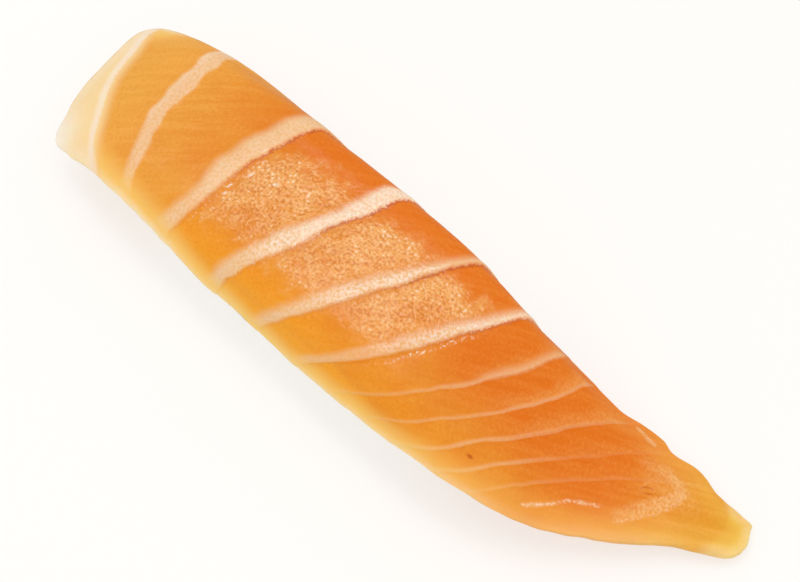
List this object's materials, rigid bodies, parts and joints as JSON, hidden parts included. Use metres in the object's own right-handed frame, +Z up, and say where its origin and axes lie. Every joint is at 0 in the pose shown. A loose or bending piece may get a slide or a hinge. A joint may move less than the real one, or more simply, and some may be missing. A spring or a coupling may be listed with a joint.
{
  "type": "salmon nigiri",
  "caption": "Long slice of raw salmon with curved white fat lines, draped over a pressed block of rice and tapering to a thin tail at one end.",
  "frame": {"origin": "centre of the bounding box in plan, at the height of the surface the rice stands on", "axes": "+X along the piece towards the narrow tail of the slice, +Y across it towards its steep side, +Z up"},
  "size_m": [0.1066, 0.0276, 0.021],
  "materials": {
    "salmon": "moist raw fish, orange with cream fat lines, satin to glossy",
    "rice": "cooked short-grain rice, off-white and slightly sticky"
  },
  "bodies": {
    "root": {"salmon_slice": "salmon", "rice_block": "rice"}
  },
  "joints": []
}
